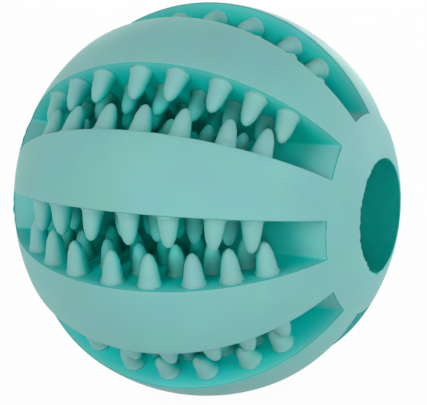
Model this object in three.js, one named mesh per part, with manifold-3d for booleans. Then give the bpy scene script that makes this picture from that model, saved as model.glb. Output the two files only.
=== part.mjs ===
// Dental dog ball: a rubber ball with a treat hole through it and eight deep
// grooves whose flanks carry rows of blunt teeth. Millimetres, +Z up.
// The hole runs along X, the ball's centre is the origin, and a groove faces
// straight down, so that the ball rests on the edges of two ribs.
import * as THREE from 'three';
import { mergeVertices } from 'three/addons/utils/BufferGeometryUtils.js';
import Module from 'manifold-3d';

// Ball: radius across the ribs, and half length along the hole before it is bored.
const BALL_RADIUS = 30;
const POLE_RADIUS = 29.4;

// Treat hole, straight through along X.
const BORE_RADIUS = 8.5;

// Core: the groove floor is a gently waisted sleeve round the hole.
const FLOOR_END_RADIUS = 15;
const FLOOR_WAIST_RADIUS = 14.2;

// Ribs and grooves: meridian planes bound them, so both narrow to the ends.
const RIB_COUNT = 8;
const GROOVE_ANGLE = 22;
const FIRST_RIB_ANGLE = 22.5;

// Clearance between the foot of a rib and the core.
const SEAT_GAP = 0.3;

// Teeth: radius at the root, at two heights on the way up, and the heights as
// parts of the length.
const TOOTH_ROOT_RADIUS = 1.85;
const TOOTH_MID_RADIUS = 1.55;
const TOOTH_CROWN_RADIUS = 0.9;
const TOOTH_MID_PART = 0.45;
const TOOTH_CROWN_PART = 0.86;
const TOOTH_SIDES = 6;

// Depth to which a root runs into the flank, so that both fuse cleanly.
const TOOTH_SINK = 0.5;

// Rows from the ball's skin inwards: depth of the tooth axis and tooth length.
const ROWS = [
  { depth: 2.0, length: 5.1 },
  { depth: 5.6, length: 4.6 },
  { depth: 9.2, length: 4.2 },
];

// Teeth along each row, as degrees either side of the ball's equator. The two
// kinds of rib alternate, and each row is staggered from the one outside it.
const EIGHT_TOOTH_RIB = [
  [6.2, 19.9, 31.2, 42.3],
  [0, 13.2, 26, 38],
  [6.4, 20],
];
const SEVEN_TOOTH_RIB = [
  [0, 12.6, 26, 37.4],
  [6.4, 20, 32],
  [0, 13.2],
];

// Facets. An odd number along a rib puts a level facet on the equator.
const RIB_FACETS = 15;
const FOOT_FACETS = 7;
const RIB_WIDTH_FACETS = 4;
const CORE_SIDES = 40;
const COLLAR_FACETS = 3;
const FLOOR_FACETS = 6;

const RIB_HALF_ANGLE = (360 / RIB_COUNT - GROOVE_ANGLE) / 2;
const toRadians = THREE.MathUtils.degToRad;
const wasm = await Module();
wasm.setup();

// Welds a geometry's seams and drops the triangles that collapse at poles.
function weld(geometry) {
  geometry.deleteAttribute('normal');
  geometry.deleteAttribute('uv');
  const welded = mergeVertices(geometry, 1e-5);
  const index = welded.getIndex().array;
  const kept = [];
  for (let i = 0; i < index.length; i += 3) {
    const [a, b, c] = [index[i], index[i + 1], index[i + 2]];
    if (a !== b && b !== c && c !== a) kept.push(a, b, c);
  }
  welded.setIndex(kept);
  return welded;
}

function toSolid(geometry) {
  const welded = weld(geometry);
  return new wasm.Manifold(new wasm.Mesh({
    numProp: 3,
    vertProperties: new Float32Array(welded.getAttribute('position').array),
    triVerts: new Uint32Array(welded.getIndex().array),
  }));
}

function toGeometry(solid) {
  const mesh = solid.getMesh();
  const stride = mesh.numProp;
  const positions = [];
  for (let i = 0; i < mesh.vertProperties.length; i += stride) {
    positions.push(...mesh.vertProperties.slice(i, i + 3));
  }
  const geometry = new THREE.BufferGeometry();
  geometry.setAttribute('position', new THREE.Float32BufferAttribute(positions, 3));
  geometry.setIndex(Array.from(mesh.triVerts));
  geometry.computeVertexNormals();
  return geometry;
}

// Point of the ball's skin in a half plane through the X axis: x is along the
// hole, y is the distance from it. The angle is measured from the +X pole.
function skinPoint(angle) {
  return new THREE.Vector2(POLE_RADIUS * Math.cos(angle), BALL_RADIUS * Math.sin(angle));
}

const FLOOR_END_ANGLE = Math.asin(FLOOR_END_RADIUS / BALL_RADIUS);

// Distance of the groove floor from the axis, at x along the hole.
function floorRadius(x) {
  const part = x / skinPoint(FLOOR_END_ANGLE).x;
  return FLOOR_WAIST_RADIUS + (FLOOR_END_RADIUS - FLOOR_WAIST_RADIUS) * part * part;
}

// Core: bore, two domed collars and the groove floor, turned about X.
function makeCore() {
  const boreAngle = Math.asin(BORE_RADIUS / BALL_RADIUS);
  const profile = [];
  for (let i = 0; i <= COLLAR_FACETS; i += 1) {
    profile.push(skinPoint(boreAngle + (FLOOR_END_ANGLE - boreAngle) * i / COLLAR_FACETS));
  }
  const floorEnd = skinPoint(FLOOR_END_ANGLE).x;
  for (let i = 1; i < FLOOR_FACETS; i += 1) {
    const x = floorEnd * (1 - 2 * i / FLOOR_FACETS);
    profile.push(new THREE.Vector2(x, floorRadius(x)));
  }
  for (let i = COLLAR_FACETS; i >= 0; i -= 1) {
    const angle = boreAngle + (FLOOR_END_ANGLE - boreAngle) * i / COLLAR_FACETS;
    profile.push(skinPoint(Math.PI - angle));
  }
  profile.push(profile[0].clone());
  // The turned profile has its axis along Y: the distance from the axis comes first.
  const points = profile.map((p) => new THREE.Vector2(p.y, p.x)).reverse();
  const geometry = new THREE.LatheGeometry(points, CORE_SIDES);
  geometry.rotateZ(-Math.PI / 2);
  return toGeometry(toSolid(geometry));
}

// Plain rib, a melon slice that faces -Y: skin arc outside, core seat inside.
function makePlainRib() {
  const tipAngle = Math.asin((FLOOR_END_RADIUS + SEAT_GAP) / BALL_RADIUS);
  const loop = [];
  for (let i = 0; i <= RIB_FACETS; i += 1) {
    loop.push(skinPoint(tipAngle + (Math.PI - 2 * tipAngle) * i / RIB_FACETS));
  }
  const tip = skinPoint(tipAngle).x;
  for (let i = 1; i < FOOT_FACETS; i += 1) {
    const x = tip * (2 * i / FOOT_FACETS - 1);
    loop.push(new THREE.Vector2(x, floorRadius(x) + SEAT_GAP));
  }
  const positions = [];
  for (let j = 0; j <= RIB_WIDTH_FACETS; j += 1) {
    const turn = toRadians(RIB_HALF_ANGLE * (2 * j / RIB_WIDTH_FACETS - 1));
    for (const p of loop) {
      positions.push(p.x, -p.y * Math.cos(turn), -p.y * Math.sin(turn));
    }
  }
  const index = [];
  const count = loop.length;
  for (let j = 0; j < RIB_WIDTH_FACETS; j += 1) {
    for (let i = 0; i < count; i += 1) {
      const a = j * count + i;
      const b = j * count + (i + 1) % count;
      index.push(a, b, b + count, a, b + count, a + count);
    }
  }
  const last = RIB_WIDTH_FACETS * count;
  for (const [a, b, c] of THREE.ShapeUtils.triangulateShape(loop, [])) {
    index.push(a, c, b);
    index.push(last + a, last + b, last + c);
  }
  const geometry = new THREE.BufferGeometry();
  geometry.setAttribute('position', new THREE.Float32BufferAttribute(positions, 3));
  geometry.setIndex(index);
  return toSolid(geometry);
}

// Tooth along +Y with its root on y = 0, sunk a little below it.
function makeTooth(length) {
  const midHeight = length * TOOTH_MID_PART;
  const taper = (TOOTH_ROOT_RADIUS - TOOTH_MID_RADIUS) / midHeight;
  const profile = [
    new THREE.Vector2(0, -TOOTH_SINK),
    new THREE.Vector2(TOOTH_ROOT_RADIUS + taper * TOOTH_SINK, -TOOTH_SINK),
    new THREE.Vector2(TOOTH_MID_RADIUS, midHeight),
    new THREE.Vector2(TOOTH_CROWN_RADIUS, length * TOOTH_CROWN_PART),
    new THREE.Vector2(0, length),
  ];
  return new THREE.LatheGeometry(profile, TOOTH_SIDES);
}

// Fuses the teeth of both flanks to a plain rib.
function makeToothedRib(rows) {
  let rib = makePlainRib();
  for (const side of [-1, 1]) {
    const turn = side * toRadians(RIB_HALF_ANGLE);
    const outward = new THREE.Vector3(0, -Math.cos(turn), -Math.sin(turn));
    const flankNormal = new THREE.Vector3(0, Math.sin(turn), -Math.cos(turn)).multiplyScalar(side);
    const along = new THREE.Vector3().crossVectors(flankNormal, outward);
    const basis = new THREE.Matrix4().makeBasis(outward, flankNormal, along.negate());
    rows.forEach((offsets, row) => {
      const { depth, length } = ROWS[row];
      const places = offsets.flatMap((offset) => (offset === 0 ? [0] : [-offset, offset]));
      for (const place of places) {
        const reach = (BALL_RADIUS - depth) / BALL_RADIUS;
        const foot = skinPoint(toRadians(90 + place)).multiplyScalar(reach);
        const tooth = makeTooth(length);
        tooth.applyMatrix4(basis);
        tooth.translate(foot.x, outward.y * foot.y, outward.z * foot.y);
        rib = rib.add(toSolid(tooth));
      }
    });
  }
  return toGeometry(rib);
}

function rubber(color) {
  return new THREE.MeshStandardMaterial({ color, roughness: 0.55, metalness: 0 });
}

const ball = new THREE.Group();
ball.name = 'dental_dog_ball';

const core = new THREE.Mesh(makeCore(), rubber(0x5fb8b0));
core.name = 'treat_core';
ball.add(core);

const ribShapes = [makeToothedRib(EIGHT_TOOTH_RIB), makeToothedRib(SEVEN_TOOTH_RIB)];
for (let i = 0; i < RIB_COUNT; i += 1) {
  const rib = new THREE.Mesh(ribShapes[i % 2].clone(), rubber(0x7cc4be));
  rib.name = `toothed_rib_${i + 1}`;
  rib.rotation.x = toRadians(FIRST_RIB_ANGLE + i * 360 / RIB_COUNT);
  ball.add(rib);
}

export default ball;
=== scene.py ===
"""Dental dog ball: the looks of the moulded rubber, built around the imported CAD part."""
import math

import bmesh
import bpy
from mathutils import Matrix, Vector, noise


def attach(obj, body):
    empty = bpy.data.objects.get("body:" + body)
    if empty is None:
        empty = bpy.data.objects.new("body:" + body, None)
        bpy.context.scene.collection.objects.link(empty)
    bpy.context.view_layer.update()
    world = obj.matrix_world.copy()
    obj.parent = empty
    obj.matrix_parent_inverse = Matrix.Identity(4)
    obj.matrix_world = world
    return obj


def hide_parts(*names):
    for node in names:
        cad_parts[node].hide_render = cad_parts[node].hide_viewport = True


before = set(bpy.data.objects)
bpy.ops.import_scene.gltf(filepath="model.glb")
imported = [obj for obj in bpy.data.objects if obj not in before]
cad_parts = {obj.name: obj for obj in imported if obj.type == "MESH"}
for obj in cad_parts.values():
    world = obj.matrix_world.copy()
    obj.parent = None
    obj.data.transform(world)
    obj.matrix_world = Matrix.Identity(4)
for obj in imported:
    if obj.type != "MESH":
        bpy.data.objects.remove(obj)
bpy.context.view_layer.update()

# Ball, in metres. The hole runs along X, and a rib's place is an angle about X
# from -Y towards -Z.
BALL_RADIUS = 0.0300
POLE_RADIUS = 0.0294
BORE_RADIUS = 0.0085
FLOOR_END_RADIUS = 0.0150
FLOOR_WAIST_RADIUS = 0.0142
RIB_COUNT = 8
RIB_STEP = math.tau / RIB_COUNT
FIRST_RIB_TURN = RIB_STEP / 2
GROOVE_ANGLE = math.radians(22)
RIB_HALF_ANGLE = (RIB_STEP - GROOVE_ANGLE) / 2

# Rounding of the rib edges, of the rib feet on the groove floor and of the hole's rim.
# Where a rib is low, its edge and foot each take at most this share of its height.
RIB_EDGE_ROUND = 0.00024
RIB_FOOT_ROUND = 0.00045
RIM_ROUND = 0.00014
ROUND_SHARE = 0.35

# Clean meshes: edges that bend this far stay sharp, points this close are merged, and
# slivers this narrow are dissolved.
SHARP_FROM = math.radians(40)
MERGE_DISTANCE = 2e-6
SLIVER_WIDTH = 1e-7

# Ragged flash that the mould left along the rim of the hole and at the groove ends: how
# far it stands out, how much of it is left at distances behind the rim, the size and
# strength of its waves, and how much of it there is on the far side of the mould.
RIM_FLASH = 0.00045
END_FLASH = 0.00016
FLASH_FADE = ((0.0002, 0.6), (0.0005, 0.2), (0.0010, 0.0))
FLASH_WAVES = ((0.0030, 0.90), (0.0009, 1.50))
FAINT_FLASH = 0.15

# How finely the moulding is divided along the ball, across it and round its edges. The
# outer half of a rib edge's rounding still has the finish of the skin.
LENGTH_STEPS = 72
COLLAR_STEPS = 12
BORE_STEPS = 12
RIM_STEPS = 2
RIB_WIDTH_STEPS = 16
GROOVE_WIDTH_STEPS = 14
FLANK_STEPS = 10
ROUND_STEPS = 4
SKIN_EDGE_STEPS = ROUND_STEPS // 2

# Finishes that a face can have.
SKIN, GROOVE, BORE, TOOTH = 0, 1, 2, 3

# Teeth: how far they lean inwards from square on the flank, depth of a row's feet
# below the skin, its tooth length, and the teeth's places along it as degrees either
# side of the equator. The shorter teeth of the inner rows are slimmer in proportion.
INWARD_LEAN = math.radians(4)
ROW_DEPTHS = (0.00225, 0.0060, 0.0096)
ROW_LENGTHS = (0.00495, 0.00445, 0.00415)
EIGHT_TOOTH_ROWS = ((6.2, 19.9, 31.2, 42.3), (0, 13.2, 26, 38), (6.4, 20))
SEVEN_TOOTH_ROWS = ((0, 12.6, 26.7, 37.9), (6.4, 20, 32), (0, 13.2))

# Each tooth leans up to this far at random, and lacks up to this part of its length.
RANDOM_LEAN = math.radians(3)
LENGTH_SPREAD = 0.04

# On three flanks, both in the groove on top and one in the lower front groove, the outer
# row lies deeper and is spread wider: the ribs' numbers from nought, and on which side
# of the rib that flank is.
DEEP_FLANKS = {1: -1, 5: 1, 6: -1}
DEEP_FLANK_SINK = 0.00075
DEEP_FLANK_SPREAD = 1.045

# One tooth's outline from its sunk foot to just below the tip: radius in metres, and
# height as a part of its length. The flange's edge is given by its number from nought.
TOOTH_SIDES = 10
TOOTH_OUTLINE = (
    (0.00190, -0.080),
    (0.00190, 0.045),
    (0.00167, 0.082),
    (0.00149, 0.330),
    (0.00124, 0.640),
    (0.00078, 0.890),
    (0.00034, 0.978),
)
FLANGE_EDGE = 1

# Rubber: the skin, pale with painted sheen over the rubber's own teal, and the colours at depths below
# it, down to the deepest floor, which grow darker and deeper with depth as painted shade. The groove
# floor near its ends and the outward side of a tooth are pale with painted light too, and the hole is
# darker as painted shade.
DEEPEST = 0.016
SKIN_COLOUR = (0.204, 0.485, 0.463)
# The hole is darker and deeper in colour than the skin as painted shade.
BORE_COLOUR = (0.001, 0.372, 0.324)
# Flank and floor colours: pale near the skin as painted light, darker and deeper with depth as painted
# shade; the first stop is a thin dark line of painted shade right at the rib edge.
FLANK_COLOURS = (
    (0.00008, (0.024, 0.380, 0.342)),
    (0.00026, (0.114, 0.520, 0.490)),
    (0.00120, (0.042, 0.530, 0.490)),
    (0.00230, (0.008, 0.540, 0.488)),
    (0.00360, (0.001, 0.540, 0.480)),
    (0.00600, (0.001, 0.490, 0.430)),
    (0.01400, (0.001, 0.320, 0.266)),
)
# The floor keeps its painted light further in, towards the groove ends.
FLOOR_COLOURS = (
    (0.00008, (0.024, 0.380, 0.342)),
    (0.00026, (0.180, 0.516, 0.494)),
    (0.00160, (0.180, 0.528, 0.504)),
    (0.00320, (0.132, 0.548, 0.520)),
    (0.00480, (0.056, 0.548, 0.508)),
    (0.00650, (0.014, 0.512, 0.462)),
    (0.01400, (0.001, 0.312, 0.264)),
)
# Outward side of a tooth: pale as painted light, darker and deeper with depth as painted shade.
LIT_SIDE_TOOTH_COLOURS = (
    (0.0000, (0.222, 0.494, 0.469)),
    (0.0030, (0.210, 0.494, 0.466)),
    (0.0042, (0.156, 0.515, 0.487)),
    (0.0052, (0.112, 0.568, 0.536)),
    (0.0062, (0.058, 0.572, 0.526)),
    (0.0082, (0.006, 0.500, 0.440)),
    (0.0105, (0.001, 0.450, 0.384)),
)
# Inward side of a tooth: saturated as painted shade, darker with depth.
SHADED_SIDE_TOOTH_COLOURS = (
    (0.0000, (0.026, 0.538, 0.494)),
    (0.0030, (0.006, 0.528, 0.478)),
    (0.0060, (0.001, 0.570, 0.506)),
    (0.0100, (0.001, 0.450, 0.384)),
)

# A tooth goes from the painted shade of its inward side to the painted light of its outward side between
# these values of tooth_front, which is -1 on its inward side and 1 on its outward side. The tip has a
# value of its own.
LIT_SIDE_FRONT = (-0.1, 0.6)
TIP_FRONT = 0.4

# The inner rows' teeth are darkest at the root as painted shade: between which parts of the length
# that fades, between which depths it begins, and how strong it is.
ROOT_SHADE_COLOUR = (0.001, 0.230, 0.190)
ROOT_RISE = (0.12, 0.72)
ROOT_DEPTHS = (0.0038, 0.0052)
ROOT_SHADE_SHARE = 0.80

# Gloss of each finish.
SKIN_SPECULAR, SKIN_ROUGHNESS = 0.15, 0.48
GROOVE_SPECULAR, GROOVE_ROUGHNESS = 0.06, 0.45
TOOTH_SPECULAR, TOOTH_ROUGHNESS = 0.10, 0.50
BORE_SPECULAR, BORE_ROUGHNESS = 0.10, 0.55

# Unevenness of the rubber, each with the scale and the detail of its noise: clouds in
# the colour, patches in the satin, the mould's fine grain, and smears in the hole.
CLOUD_NOISE = (160, 4)
CLOUD_SHARE = 0.10
SATIN_NOISE = (220, 3)
SATIN_SPREAD = 0.06
GRAIN_NOISE = (2600, 3)
GRAIN_STRENGTH = 0.12
GRAIN_HEIGHT = 0.0001
SMEAR_NOISE = (420, 5)
SMEAR_LIMITS = (0.35, 0.70)
SMEAR_SHARE = 0.6
SMEAR_COLOUR = (0.012, 0.420, 0.378)

# Specks in the skin: how far apart they are, how large, and how strong.
SPECK_SPACING = 0.011
SPECK_RADIUS = 0.00022
SPECK_SHARE = 0.45
SPECK_COLOUR = (0.024, 0.180, 0.168)

# Camera of the photograph: its frame in pixels, the ball's centre in that frame,
# where it stands from the ball's centre, and from how near it sees.
IMAGE_WIDTH = 427
IMAGE_HEIGHT = 405
BALL_CENTRE_PIXEL = (207.6, 199.0)
FOCAL_PIXELS = 2504.3
CAMERA_BACK = Vector((0.4011, -0.8761, 0.2680))
CAMERA_UP = Vector((-0.0872, 0.2547, 0.9631))
CAMERA_DISTANCE = 0.3828
SENSOR_WIDTH = 36.0
NEAREST_SEEN = 0.01

# Light of the room on the ball, the paper floor, and how white it looks to the camera.
AMBIENT = 0.17
FLOOR_RADIUS = 3
FLOOR_SIDES = 96
PAPER_COLOUR = (0.9, 0.9, 0.9)
PAPER_ROUGHNESS = 0.9
FLOOR_GLOW = 0.96

# Lamps, all turned to the ball: name, place, width, power and colour.
WHITE = (1.0, 1.0, 1.0)
LAMPS = (
    ("front_softbox", (0.42, -0.90, 0.12), 0.24, 1.65, WHITE),
    ("left_softbox", (-0.37, -0.84, 0.39), 0.6, 4.0, (0.98, 1.0, 0.98)),
    ("right_softbox", (0.89, -0.27, 0.36), 0.5, 4.0, (0.94, 0.98, 1.0)),
    ("top_softbox", (-0.05, 0.17, 0.98), 0.6, 0.9, WHITE),
    ("right_rim_softbox", (0.62, 0.76, 0.18), 0.6, 2.8, WHITE),
    ("left_rim_softbox", (-0.85, 0.22, 0.49), 0.6, 1.3, WHITE),
    ("back_softbox", (-0.40, 0.87, 0.30), 0.7, 2.0, WHITE),
    ("right_back_softbox", (-0.04, 0.99, 0.13), 0.3, 1.1, (1.0, 0.92, 0.88)),
)


def skin_point(angle):
    """Distance along the hole and from it, on the ball's skin, at an angle from the +X pole."""
    return POLE_RADIUS * math.cos(angle), BALL_RADIUS * math.sin(angle)


FLOOR_END_ANGLE = math.asin(FLOOR_END_RADIUS / BALL_RADIUS)
FLOOR_END_X = skin_point(FLOOR_END_ANGLE)[0]
RIM_ANGLE = math.asin((BORE_RADIUS + RIM_ROUND) / BALL_RADIUS)


def floor_radius(x):
    """Distance of the groove floor from the hole's axis."""
    part = x / FLOOR_END_X
    return FLOOR_WAIST_RADIUS + (FLOOR_END_RADIUS - FLOOR_WAIST_RADIUS) * part * part


def around(x, radius, turn):
    """Point at a distance along the hole, a distance from it and a turn about it."""
    return Vector((x, -radius * math.cos(turn), -radius * math.sin(turn)))


def length_angles():
    """Angles from the +X pole of the rows from one groove end to the other."""
    stretch = math.pi - 2 * FLOOR_END_ANGLE
    return [FLOOR_END_ANGLE + stretch * step / LENGTH_STEPS for step in range(LENGTH_STEPS + 1)]


def mesh_object(name, mesh):
    """New object in the scene for a mesh."""
    piece = bpy.data.objects.new(name, mesh)
    bpy.context.scene.collection.objects.link(piece)
    return piece


def close_and_smooth(shape):
    """Merges what collapsed, turns the faces outwards, and keeps only true edges sharp."""
    bmesh.ops.remove_doubles(shape, verts=shape.verts, dist=MERGE_DISTANCE)
    bmesh.ops.dissolve_degenerate(shape, edges=shape.edges, dist=SLIVER_WIDTH)
    bmesh.ops.recalc_face_normals(shape, faces=shape.faces)
    for face in shape.faces:
        face.smooth = True
    for edge in shape.edges:
        edge.smooth = edge.calc_face_angle(0) < SHARP_FROM


def finished_mesh(name, shape):
    """Mesh of a shape, which is then let go."""
    mesh = bpy.data.meshes.new(name)
    shape.to_mesh(mesh)
    shape.free()
    return mesh


def flash(spot, turn):
    """Ragged edge of the moulding at a spot, from about -1 to 1.

    It is only faint on the far side of the mould.
    """
    strength = FAINT_FLASH + (1 - FAINT_FLASH) * max(0.0, math.cos(turn))
    return strength * sum(share * noise.noise(spot / wave) for wave, share in FLASH_WAVES)


def core_rows():
    """Rows of the core, as a closed loop from the +X rim round to it.

    Each has its distance along the hole, its radius, the finish of the band after it,
    how much rim flash it has and whether a groove ends on it.
    """
    collar = FLOOR_END_ANGLE - RIM_ANGLE
    half = []
    for step in range(COLLAR_STEPS):
        angle = RIM_ANGLE + collar * step / COLLAR_STEPS
        half.append((*skin_point(angle), SKIN, 1.0 if step == 0 else 0.0, False))
    rim_x, rim_radius = skin_point(RIM_ANGLE)
    rim = []
    for step in range(1, RIM_STEPS + 1):
        bend = math.pi / 2 * step / RIM_STEPS
        x = rim_x - RIM_ROUND * (1 - math.cos(bend))
        rim.append((x, rim_radius - RIM_ROUND * math.sin(bend), BORE, 1.0, False))
    bore_end = rim_x - RIM_ROUND
    for behind, flash_part in FLASH_FADE:
        rim.append((bore_end - behind, BORE_RADIUS, BORE, flash_part, False))
    bore_x = rim[-1][0]

    rows = list(half)
    for step, angle in enumerate(length_angles()):
        x = skin_point(angle)[0]
        finish = GROOVE if step < LENGTH_STEPS else SKIN
        rows.append((x, floor_radius(x), finish, 0.0, step in (0, LENGTH_STEPS)))
    rows += [(-x, radius, SKIN, part, ends) for x, radius, _, part, ends in reversed(half)]
    # The band after the -X rim is already in the hole.
    rows[-1] = (*rows[-1][:2], BORE, *rows[-1][3:])
    rows += [(-x, *rest) for x, *rest in rim]
    for step in range(1, BORE_STEPS):
        rows.append((bore_x * (2 * step / BORE_STEPS - 1), BORE_RADIUS, BORE, 0.0, False))
    rows += reversed(rim)
    return rows


def make_core(name):
    """Sleeve round the hole, with both collars and the groove floor, and flash along its edges."""
    shape = bmesh.new()
    on_floor = shape.verts.layers.float.new("on_floor")
    places = []
    for rib in range(RIB_COUNT):
        middle = FIRST_RIB_TURN + rib * RIB_STEP
        for step in range(RIB_WIDTH_STEPS):
            places.append((middle + RIB_HALF_ANGLE * (2 * step / RIB_WIDTH_STEPS - 1), 0.0))
        for step in range(GROOVE_WIDTH_STEPS):
            part = step / GROOVE_WIDTH_STEPS
            places.append((middle + RIB_HALF_ANGLE + GROOVE_ANGLE * part, math.sin(math.pi * part)))
    rows = core_rows()
    grid = []
    for x, radius, _, rim_flash, groove_ends in rows:
        ring = []
        for turn, into_groove in places:
            spot = around(x, radius, turn)
            ragged = flash(spot, turn)
            ring_radius = radius - RIM_FLASH * rim_flash * ragged
            ring_x = x + END_FLASH * groove_ends * into_groove * ragged
            vertex = shape.verts.new(around(ring_x, ring_radius, turn))
            vertex[on_floor] = 1.0
            ring.append(vertex)
        grid.append(ring)
    for row, ring in enumerate(grid):
        after = grid[(row + 1) % len(grid)]
        for column in range(len(ring)):
            beside = (column + 1) % len(ring)
            face = shape.faces.new((ring[column], ring[beside], after[beside], after[column]))
            face.material_index = rows[row][2]
    close_and_smooth(shape)
    return mesh_object(name, finished_mesh(name, shape))


def rib_section(skin, floor):
    """Closed outline of a rib at one place along the ball, from its skin round.

    Each point has its radius, its turn and how far it has run out onto the groove floor.
    """
    depth = skin - floor
    edge = min(RIB_EDGE_ROUND, ROUND_SHARE * depth)
    foot = min(RIB_FOOT_ROUND, ROUND_SHARE * depth)
    flank = depth - edge - foot
    side = []
    for step in range(1, ROUND_STEPS + 1):
        bend = math.pi / 2 * step / ROUND_STEPS
        radius = skin - edge * (1 - math.cos(bend))
        side.append((radius, RIB_HALF_ANGLE - edge * (1 - math.sin(bend)) / radius, 0.0))
    for step in range(1, FLANK_STEPS + 1):
        side.append((skin - edge - flank * step / FLANK_STEPS, RIB_HALF_ANGLE, 0.0))
    for step in range(1, ROUND_STEPS):
        bend = math.pi / 2 * step / ROUND_STEPS
        radius = floor + foot * (1 - math.sin(bend))
        turn = RIB_HALF_ANGLE + foot * (1 - math.cos(bend)) / radius
        side.append((radius, turn, step / ROUND_STEPS))
    across = [2 * step / RIB_WIDTH_STEPS - 1 for step in range(RIB_WIDTH_STEPS + 1)]
    skin_turn = RIB_HALF_ANGLE - edge / skin
    foot_turn = RIB_HALF_ANGLE + foot / floor
    outline = [(skin, skin_turn * part, 0.0) for part in across]
    outline += side
    outline += [(floor, foot_turn * part, 1.0) for part in reversed(across)]
    outline += [(radius, -turn, run_out) for radius, turn, run_out in reversed(side)]
    return outline


def plain_rib():
    """Rib without its teeth, its middle towards -Y, with the finish of each face."""
    shape = bmesh.new()
    finish = shape.faces.layers.int.new("finish")
    on_floor = shape.verts.layers.float.new("on_floor")
    grid = []
    for angle in length_angles():
        x, skin = skin_point(angle)
        ring = []
        for radius, turn, run_out in rib_section(skin, floor_radius(x)):
            vertex = shape.verts.new(around(x, radius, turn))
            vertex[on_floor] = run_out
            ring.append(vertex)
        grid.append(ring)
    count = len(grid[0])
    for low, high in zip(grid, grid[1:]):
        for column in range(count):
            beside = (column + 1) % count
            face = shape.faces.new((low[column], low[beside], high[beside], high[column]))
            on_skin = column < RIB_WIDTH_STEPS + SKIN_EDGE_STEPS or column >= count - SKIN_EDGE_STEPS
            face[finish] = SKIN if on_skin else GROOVE
    close_and_smooth(shape)
    return mesh_object("plain_rib", finished_mesh("plain_rib", shape))


def plain_tooth():
    """One tooth of unit length along +Z, on a low flange, its foot sunk below the flank.

    Only the flange's edge is sharp. The attribute tooth_front grows from the tooth's -X
    side to its +X side, and tooth_rise from its root to its tip.
    """
    shape = bmesh.new()
    finish = shape.faces.layers.int.new("finish")
    front = shape.verts.layers.float.new("tooth_front")
    rise = shape.verts.layers.float.new("tooth_rise")
    rings = []
    for radius, height in TOOTH_OUTLINE:
        ring = []
        for side in range(TOOTH_SIDES):
            turn = math.tau * side / TOOTH_SIDES
            vertex = shape.verts.new((radius * math.cos(turn), radius * math.sin(turn), height))
            vertex[front] = math.cos(turn)
            vertex[rise] = max(0.0, height)
            ring.append(vertex)
        rings.append(ring)
    tip = shape.verts.new((0, 0, 1))
    tip[front] = TIP_FRONT
    tip[rise] = 1.0
    for low, high in zip(rings, rings[1:]):
        for side in range(TOOTH_SIDES):
            beside = (side + 1) % TOOTH_SIDES
            shape.faces.new((low[side], low[beside], high[beside], high[side]))
    for side in range(TOOTH_SIDES):
        shape.faces.new((rings[-1][side], rings[-1][(side + 1) % TOOTH_SIDES], tip))
    shape.faces.new(list(reversed(rings[0])))
    for face in shape.faces:
        face[finish] = TOOTH
        face.smooth = True
    flange = rings[FLANGE_EDGE]
    for side in range(TOOTH_SIDES):
        shape.edges.get((flange[side], flange[(side + 1) % TOOTH_SIDES])).smooth = False
    return mesh_object("plain_tooth", finished_mesh("plain_tooth", shape))


def tooth_feet(rows, deep_side):
    """Points at the tooth feet on both flanks of the plain rib.

    Each has the way that its tooth points, the way out of the ball and the tooth's length.
    The outer row lies deeper and wider on the deep side, if there is one.
    """
    points, ways, outs, lengths = [], [], [], []
    for side in (-1, 1):
        turn = side * RIB_HALF_ANGLE
        lean = side * (RIB_HALF_ANGLE + INWARD_LEAN)
        way = Vector((0, math.sin(lean), -math.cos(lean))) * side
        for row, (depth, length, offsets) in enumerate(zip(ROW_DEPTHS, ROW_LENGTHS, rows)):
            deep = side == deep_side and row == 0
            sink, spread = (DEEP_FLANK_SINK, DEEP_FLANK_SPREAD) if deep else (0.0, 1.0)
            reach = (BALL_RADIUS - depth - sink) / BALL_RADIUS
            for offset in sorted({sign * offset for offset in offsets for sign in (-1, 1)}):
                x, radius = skin_point(math.radians(90 + offset * spread))
                foot = around(x * reach, radius * reach, turn)
                points.append(foot)
                ways.append(way)
                outs.append(foot.normalized())
                lengths.append(length)
    mesh = bpy.data.meshes.new("tooth_feet")
    mesh.from_pydata(points, [], [])
    mesh.attributes.new("tooth_way", "FLOAT_VECTOR", "POINT")
    mesh.attributes.new("tooth_out", "FLOAT_VECTOR", "POINT")
    mesh.attributes.new("tooth_length", "FLOAT", "POINT")
    for index, (way, out, length) in enumerate(zip(ways, outs, lengths)):
        mesh.attributes["tooth_way"].data[index].vector = way
        mesh.attributes["tooth_out"].data[index].vector = out
        mesh.attributes["tooth_length"].data[index].value = length
    return mesh_object("tooth_feet", mesh)


def tree_input(tree, name, kind, value):
    """Adds a named input to a node tree, with its value unless that is None."""
    socket = tree.interface.new_socket(name, in_out="INPUT", socket_type=kind)
    if value is not None:
        socket.default_value = value
    return socket.identifier


def named_attribute(nodes, name, kind):
    """Socket that reads an attribute in a geometry tree."""
    reader = nodes.new("GeometryNodeInputNamedAttribute")
    reader.data_type = kind
    reader.inputs["Name"].default_value = name
    return reader.outputs["Attribute"]


def math_node(nodes, link, operation, first, second):
    """Math node on two inputs, each a number or a socket."""
    node = nodes.new("ShaderNodeMath")
    node.operation = operation
    for socket, value in zip(node.inputs, (first, second)):
        if isinstance(value, (int, float)):
            socket.default_value = value
        else:
            link(value, socket)
    return node.outputs[0]


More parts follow.
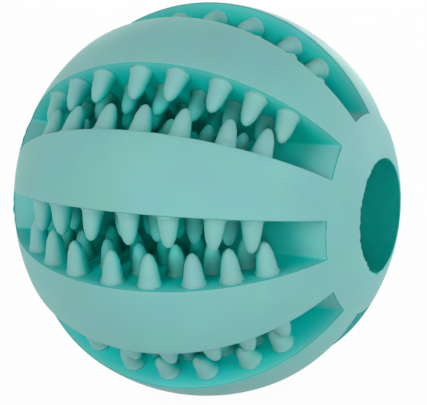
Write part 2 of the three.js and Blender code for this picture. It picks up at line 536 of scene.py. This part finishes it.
def toothed_rib_tree():
    """Tree that stands teeth on a rib and turns it to its place, and its inputs by name."""
    tree = bpy.data.node_groups.new("toothed_rib", "GeometryNodeTree")
    inputs = (
        ("Rib", "NodeSocketGeometry", None),
        ("Tooth Feet", "NodeSocketObject", None),
        ("Tooth", "NodeSocketObject", None),
        ("Turn", "NodeSocketFloat", None),
        ("Lean", "NodeSocketFloat", RANDOM_LEAN),
        ("Length Spread", "NodeSocketFloat", LENGTH_SPREAD),
        ("Seed", "NodeSocketInt", 1),
        ("Skin Rubber", "NodeSocketMaterial", None),
        ("Groove Rubber", "NodeSocketMaterial", None),
        ("Tooth Rubber", "NodeSocketMaterial", None),
    )
    sockets = {name: tree_input(tree, name, kind, value) for name, kind, value in inputs}
    tree.interface.new_socket("Toothed Rib", in_out="OUTPUT", socket_type="NodeSocketGeometry")
    nodes, link = tree.nodes, tree.links.new
    start = nodes.new("NodeGroupInput").outputs
    end = nodes.new("NodeGroupOutput")
    feet = nodes.new("GeometryNodeObjectInfo")
    link(start["Tooth Feet"], feet.inputs["Object"])
    tooth = nodes.new("GeometryNodeObjectInfo")
    link(start["Tooth"], tooth.inputs["Object"])

    # A tooth stands along its own way, with its front towards the outside of the ball.
    upright = nodes.new("FunctionNodeAlignRotationToVector")
    upright.axis = "Z"
    link(named_attribute(nodes, "tooth_way", "FLOAT_VECTOR"), upright.inputs["Vector"])
    facing = nodes.new("FunctionNodeAlignRotationToVector")
    facing.axis = "X"
    facing.pivot_axis = "Z"
    link(upright.outputs[0], facing.inputs["Rotation"])
    link(named_attribute(nodes, "tooth_out", "FLOAT_VECTOR"), facing.inputs["Vector"])

    # It leans a little at random.
    least_lean = math_node(nodes, link, "MULTIPLY", start["Lean"], -1)
    low_turn = nodes.new("ShaderNodeCombineXYZ")
    high_turn = nodes.new("ShaderNodeCombineXYZ")
    for axis in ("X", "Y"):
        link(least_lean, low_turn.inputs[axis])
        link(start["Lean"], high_turn.inputs[axis])
    lean = nodes.new("FunctionNodeRandomValue")
    lean.data_type = "FLOAT_VECTOR"
    link(low_turn.outputs[0], lean.inputs["Min"])
    link(high_turn.outputs[0], lean.inputs["Max"])
    link(start["Seed"], lean.inputs["Seed"])
    leaning = nodes.new("FunctionNodeRotateRotation")
    leaning.rotation_space = "LOCAL"
    link(facing.outputs[0], leaning.inputs["Rotation"])
    link(lean.outputs["Value"], leaning.inputs["Rotate By"])

    # Its length is its row's, less a little at random, and it is as slim as its row is
    # short. Inputs 2 and 3 of the random node are the least and greatest number.
    stretch = nodes.new("FunctionNodeRandomValue")
    stretch.data_type = "FLOAT"
    stretch.inputs[3].default_value = 1
    link(math_node(nodes, link, "SUBTRACT", 1, start["Length Spread"]), stretch.inputs[2])
    link(start["Seed"], stretch.inputs["Seed"])
    row_length = named_attribute(nodes, "tooth_length", "FLOAT")
    size = nodes.new("ShaderNodeCombineXYZ")
    girth = math_node(nodes, link, "DIVIDE", row_length, max(ROW_LENGTHS))
    link(girth, size.inputs["X"])
    link(girth, size.inputs["Y"])
    link(math_node(nodes, link, "MULTIPLY", row_length, stretch.outputs[1]), size.inputs["Z"])
    teeth = nodes.new("GeometryNodeInstanceOnPoints")
    link(feet.outputs["Geometry"], teeth.inputs["Points"])
    link(tooth.outputs["Geometry"], teeth.inputs["Instance"])
    link(leaning.outputs[0], teeth.inputs["Rotation"])
    link(size.outputs[0], teeth.inputs["Scale"])

    # Rib and teeth turn about the hole together.
    together = nodes.new("GeometryNodeJoinGeometry")
    link(teeth.outputs[0], together.inputs[0])
    link(start["Rib"], together.inputs[0])
    about_hole = nodes.new("ShaderNodeCombineXYZ")
    link(start["Turn"], about_hole.inputs["X"])
    in_place = nodes.new("GeometryNodeTransform")
    link(together.outputs[0], in_place.inputs["Geometry"])
    link(about_hole.outputs[0], in_place.inputs["Rotation"])
    real = nodes.new("GeometryNodeRealizeInstances")
    link(in_place.outputs[0], real.inputs[0])

    # Each face takes the rubber of its finish. Inputs 2 and 3 of the compare node are
    # its whole numbers.
    dressed = real.outputs[0]
    for value, name in ((SKIN, "Skin Rubber"), (GROOVE, "Groove Rubber"), (TOOTH, "Tooth Rubber")):
        chosen = nodes.new("FunctionNodeCompare")
        chosen.data_type = "INT"
        chosen.operation = "EQUAL"
        link(named_attribute(nodes, "finish", "INT"), chosen.inputs[2])
        chosen.inputs[3].default_value = value
        dress = nodes.new("GeometryNodeSetMaterial")
        link(dressed, dress.inputs["Geometry"])
        link(chosen.outputs[0], dress.inputs["Selection"])
        link(start[name], dress.inputs["Material"])
        dressed = dress.outputs[0]
    link(dressed, end.inputs[0])
    return tree, sockets


def plain_piece(source, name, tree, values):
    """Runs a node tree on an object and keeps the result as a plain mesh object."""
    modifier = source.modifiers.new(tree.name, "NODES")
    modifier.node_group = tree
    for identifier, value in values.items():
        modifier[identifier] = value
    bpy.context.view_layer.update()
    depsgraph = bpy.context.evaluated_depsgraph_get()
    mesh = bpy.data.meshes.new_from_object(source.evaluated_get(depsgraph))
    source.modifiers.remove(modifier)
    mesh.name = name
    return mesh_object(name, mesh)


def map_range(nodes, link, value, low, high, to_low=0.0, to_high=1.0):
    """Socket that takes one range of a value to another, and stops at its ends."""
    node = nodes.new("ShaderNodeMapRange")
    for name, limit in (("From Min", low), ("From Max", high), ("To Min", to_low), ("To Max", to_high)):
        node.inputs[name].default_value = limit
    link(value, node.inputs["Value"])
    return node.outputs["Result"]


def mix_colours(nodes, link, blend, factor, first, second):
    """Colour mix. The factor is a number or a socket, and each colour a tuple or a socket."""
    node = nodes.new("ShaderNodeMix")
    node.data_type = "RGBA"
    node.blend_type = blend
    if isinstance(factor, float):
        node.inputs["Factor"].default_value = factor
    else:
        link(factor, node.inputs["Factor"])
    for name, colour in (("A", first), ("B", second)):
        if isinstance(colour, tuple):
            node.inputs[name].default_value = (*colour, 1)
        else:
            link(colour, node.inputs[name])
    return node.outputs["Result"]


def noise_texture(nodes, link, place, scale, detail):
    """Outputs of a noise over the rubber."""
    texture = nodes.new("ShaderNodeTexNoise")
    texture.inputs["Scale"].default_value = scale
    texture.inputs["Detail"].default_value = detail
    link(place, texture.inputs["Vector"])
    return texture.outputs


def point_value(nodes, name):
    """Socket that reads a number kept on the mesh's points."""
    reader = nodes.new("ShaderNodeAttribute")
    reader.attribute_name = name
    return reader.outputs["Fac"]


def depth_part(nodes, link, place):
    """Depth below the ball's skin, as a part of the deepest."""
    squeezed = nodes.new("ShaderNodeVectorMath")
    squeezed.operation = "MULTIPLY"
    squeezed.inputs[1].default_value = (BALL_RADIUS / POLE_RADIUS, 1, 1)
    link(place, squeezed.inputs[0])
    from_centre = nodes.new("ShaderNodeVectorMath")
    from_centre.operation = "LENGTH"
    link(squeezed.outputs[0], from_centre.inputs[0])
    return map_range(nodes, link, from_centre.outputs["Value"], BALL_RADIUS, BALL_RADIUS - DEEPEST)


def colours_by_depth(nodes, link, depth, colours):
    """Colour that goes through the given ones as the depth grows."""
    ramp = nodes.new("ShaderNodeValToRGB")
    stops = ramp.color_ramp.elements
    while len(stops) < len(colours):
        stops.new(1)
    for stop, (below_skin, colour) in zip(stops, colours):
        stop.position = below_skin / DEEPEST
        stop.color = (*colour, 1)
    link(depth, ramp.inputs["Fac"])
    return ramp.outputs["Color"]


def new_rubber(name, specular):
    """Material with its shader's plain values set, and its nodes, link call, shader and place."""
    material = bpy.data.materials.new(name)
    material.use_nodes = True
    nodes, link = material.node_tree.nodes, material.node_tree.links.new
    shader = nodes["Principled BSDF"]
    shader.inputs["Specular IOR Level"].default_value = specular
    place = nodes.new("ShaderNodeTexCoord").outputs["Object"]
    return material, nodes, link, shader, place


def moulded_finish(nodes, link, shader, place, colour, roughness):
    """Cloudy colour of the compound, uneven satin in small patches, and the mould's fine grain."""
    clouds = noise_texture(nodes, link, place, *CLOUD_NOISE)["Color"]
    cloudy = mix_colours(nodes, link, "OVERLAY", CLOUD_SHARE, colour, clouds)
    link(cloudy, shader.inputs["Base Color"])
    patches = noise_texture(nodes, link, place, *SATIN_NOISE)["Fac"]
    satin = map_range(nodes, link, patches, 0.0, 1.0, roughness - SATIN_SPREAD, roughness + SATIN_SPREAD)
    link(satin, shader.inputs["Roughness"])
    bump = nodes.new("ShaderNodeBump")
    bump.inputs["Strength"].default_value = GRAIN_STRENGTH
    bump.inputs["Distance"].default_value = GRAIN_HEIGHT
    link(noise_texture(nodes, link, place, *GRAIN_NOISE)["Fac"], bump.inputs["Height"])
    link(bump.outputs["Normal"], shader.inputs["Normal"])


def skin_rubber():
    """Outside of the ball, pale with painted sheen over the rubber's teal, with a few specks in the
    compound.
    """
    material, nodes, link, shader, place = new_rubber("skin_rubber", SKIN_SPECULAR)
    cells = nodes.new("ShaderNodeTexVoronoi")
    cells.inputs["Scale"].default_value = 1 / SPECK_SPACING
    link(place, cells.inputs["Vector"])
    size = SPECK_RADIUS / SPECK_SPACING
    specks = map_range(nodes, link, cells.outputs["Distance"], size, size / 2, 0.0, SPECK_SHARE)
    colour = mix_colours(nodes, link, "MIX", specks, SKIN_COLOUR, SPECK_COLOUR)
    moulded_finish(nodes, link, shader, place, colour, SKIN_ROUGHNESS)
    return material


def bore_rubber():
    """Dull rubber of the hole, darker than the skin as painted shade, smeared by the core pin of the
    mould.
    """
    material, nodes, link, shader, place = new_rubber("bore_rubber", BORE_SPECULAR)
    smears = noise_texture(nodes, link, place, *SMEAR_NOISE)["Fac"]
    shade = map_range(nodes, link, smears, *SMEAR_LIMITS, 0.0, SMEAR_SHARE)
    colour = mix_colours(nodes, link, "MIX", shade, BORE_COLOUR, SMEAR_COLOUR)
    moulded_finish(nodes, link, shader, place, colour, BORE_ROUGHNESS)
    return material


def groove_rubber():
    """Flanks and floor of the grooves, deeper in colour the deeper they lie as painted shade, pale near
    the skin as painted light.
    """
    material, nodes, link, shader, place = new_rubber("groove_rubber", GROOVE_SPECULAR)
    depth = depth_part(nodes, link, place)
    # Colour by depth: painted light near the skin, painted shade further down.
    flank = colours_by_depth(nodes, link, depth, FLANK_COLOURS)
    floor = colours_by_depth(nodes, link, depth, FLOOR_COLOURS)
    colour = mix_colours(nodes, link, "MIX", point_value(nodes, "on_floor"), flank, floor)
    moulded_finish(nodes, link, shader, place, colour, GROOVE_ROUGHNESS)
    return material


def tooth_rubber():
    """Teeth: pale as painted light on the side that faces out of the ball, saturated as painted shade on
    the side that faces in.

    The inner rows darken towards their roots as painted shade.
    """
    material, nodes, link, shader, place = new_rubber("tooth_rubber", TOOTH_SPECULAR)
    depth = depth_part(nodes, link, place)
    # Painted light on the outward side, painted shade on the inward side, each by depth.
    lit_side = colours_by_depth(nodes, link, depth, LIT_SIDE_TOOTH_COLOURS)
    shaded_side = colours_by_depth(nodes, link, depth, SHADED_SIDE_TOOTH_COLOURS)
    outward = map_range(nodes, link, point_value(nodes, "tooth_front"), *LIT_SIDE_FRONT)
    tooth = mix_colours(nodes, link, "MIX", outward, shaded_side, lit_side)
    # Painted shade at the roots of the inner rows' teeth.
    root_shade_fade = map_range(nodes, link, point_value(nodes, "tooth_rise"), *ROOT_RISE, ROOT_SHADE_SHARE, 0.0)
    inner_row = map_range(nodes, link, depth, *(limit / DEEPEST for limit in ROOT_DEPTHS))
    shade = math_node(nodes, link, "MULTIPLY", root_shade_fade, inner_row)
    colour = mix_colours(nodes, link, "MIX", shade, tooth, ROOT_SHADE_COLOUR)
    moulded_finish(nodes, link, shader, place, colour, TOOTH_ROUGHNESS)
    return material


def area_light(name, place, width, power, colour):
    """Round softbox that faces the ball."""
    lamp = bpy.data.lights.new(name, "AREA")
    lamp.shape = "DISK"
    lamp.size = width
    lamp.energy = power
    lamp.color = colour
    light = bpy.data.objects.new(name, lamp)
    light.location = place
    light.rotation_euler = (-Vector(place)).to_track_quat("-Z", "Y").to_euler()
    bpy.context.scene.collection.objects.link(light)


def white_for_the_eye(nodes, link):
    """One for rays from the camera, a mirror or a lens, nought for the rays that light things."""
    path = nodes.new("ShaderNodeLightPath").outputs
    seen = path["Is Camera Ray"]
    for name in ("Is Glossy Ray", "Is Transmission Ray"):
        seen = math_node(nodes, link, "MAXIMUM", seen, path[name])
    return seen


def mix_to_surface(nodes, link, factor, first, second, end):
    """Sends a mix of two shaders to a tree's output node."""
    mix = nodes.new("ShaderNodeMixShader")
    link(factor, mix.inputs["Fac"])
    link(first.outputs[0], mix.inputs[1])
    link(second.outputs[0], mix.inputs[2])
    link(mix.outputs[0], nodes[end].inputs["Surface"])


def set_world():
    """Even light of a room, which looks white."""
    world = bpy.data.worlds.new("studio")
    bpy.context.scene.world = world
    world.use_nodes = True
    nodes, link = world.node_tree.nodes, world.node_tree.links.new
    room = nodes["Background"]
    white = nodes.new("ShaderNodeBackground")
    for light, strength in ((room, AMBIENT), (white, 1)):
        light.inputs["Color"].default_value = (*WHITE, 1)
        light.inputs["Strength"].default_value = strength
    mix_to_surface(nodes, link, white_for_the_eye(nodes, link), room, white, "World Output")


def make_floor(height):
    """Paper floor under the ball, nearly white to the camera, which keeps the ball's shadow."""
    bpy.ops.mesh.primitive_circle_add(
        vertices=FLOOR_SIDES, radius=FLOOR_RADIUS, fill_type="NGON", location=(0, 0, 0))
    floor = bpy.context.object
    floor.name = "studio_floor"
    floor.data.transform(Matrix.Translation((0, 0, height)))
    material = bpy.data.materials.new("studio_paper")
    material.use_nodes = True
    nodes, link = material.node_tree.nodes, material.node_tree.links.new
    paper = nodes["Principled BSDF"]
    paper.inputs["Base Color"].default_value = (*PAPER_COLOUR, 1)
    paper.inputs["Roughness"].default_value = PAPER_ROUGHNESS
    glow = nodes.new("ShaderNodeEmission")
    share = math_node(nodes, link, "MULTIPLY", white_for_the_eye(nodes, link), FLOOR_GLOW)
    mix_to_surface(nodes, link, share, paper, glow, "Material Output")
    floor.data.materials.append(material)


def make_camera():
    """Camera where the photograph was taken from."""
    data = bpy.data.cameras.new("photo_camera")
    data.sensor_width = SENSOR_WIDTH
    data.lens = FOCAL_PIXELS / IMAGE_WIDTH * SENSOR_WIDTH
    data.shift_x = (IMAGE_WIDTH / 2 - BALL_CENTRE_PIXEL[0]) / IMAGE_WIDTH
    data.shift_y = (BALL_CENTRE_PIXEL[1] - IMAGE_HEIGHT / 2) / IMAGE_WIDTH
    data.clip_start = NEAREST_SEEN
    camera = bpy.data.objects.new("photo_camera", data)
    back = CAMERA_BACK.normalized()
    up = (CAMERA_UP - back * CAMERA_UP.dot(back)).normalized()
    right = up.cross(back)
    turn = Matrix((right, up, back)).transposed().to_4x4()
    camera.matrix_world = Matrix.Translation(back * CAMERA_DISTANCE) @ turn
    bpy.context.scene.collection.objects.link(camera)
    bpy.context.scene.camera = camera


make_camera()
skin, groove, bore, teeth = skin_rubber(), groove_rubber(), bore_rubber(), tooth_rubber()

core = make_core("moulded_core")
for finish in (skin, groove, bore):
    core.data.materials.append(finish)
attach(core, "root")
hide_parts("treat_core")

rib = plain_rib()
tooth = plain_tooth()
tree, sockets = toothed_rib_tree()
pieces = [core]
for number in range(RIB_COUNT):
    rows = SEVEN_TOOTH_ROWS if number % 2 else EIGHT_TOOTH_ROWS
    feet = tooth_feet(rows, DEEP_FLANKS.get(number, 0))
    piece = plain_piece(rib, f"moulded_rib_{number + 1}", tree, {
        sockets["Tooth Feet"]: feet,
        sockets["Tooth"]: tooth,
        sockets["Turn"]: FIRST_RIB_TURN + number * RIB_STEP,
        sockets["Seed"]: number + 1,
        sockets["Skin Rubber"]: skin,
        sockets["Groove Rubber"]: groove,
        sockets["Tooth Rubber"]: teeth,
    })
    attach(piece, "root")
    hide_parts(f"toothed_rib_{number + 1}")
    pieces.append(piece)
    bpy.data.objects.remove(feet)
for pattern in (rib, tooth):
    bpy.data.objects.remove(pattern)

make_floor(min(vertex.co.z for piece in pieces for vertex in piece.data.vertices))
set_world()
for lamp in LAMPS:
    area_light(*lamp)
bpy.context.scene.view_settings.view_transform = "Standard"
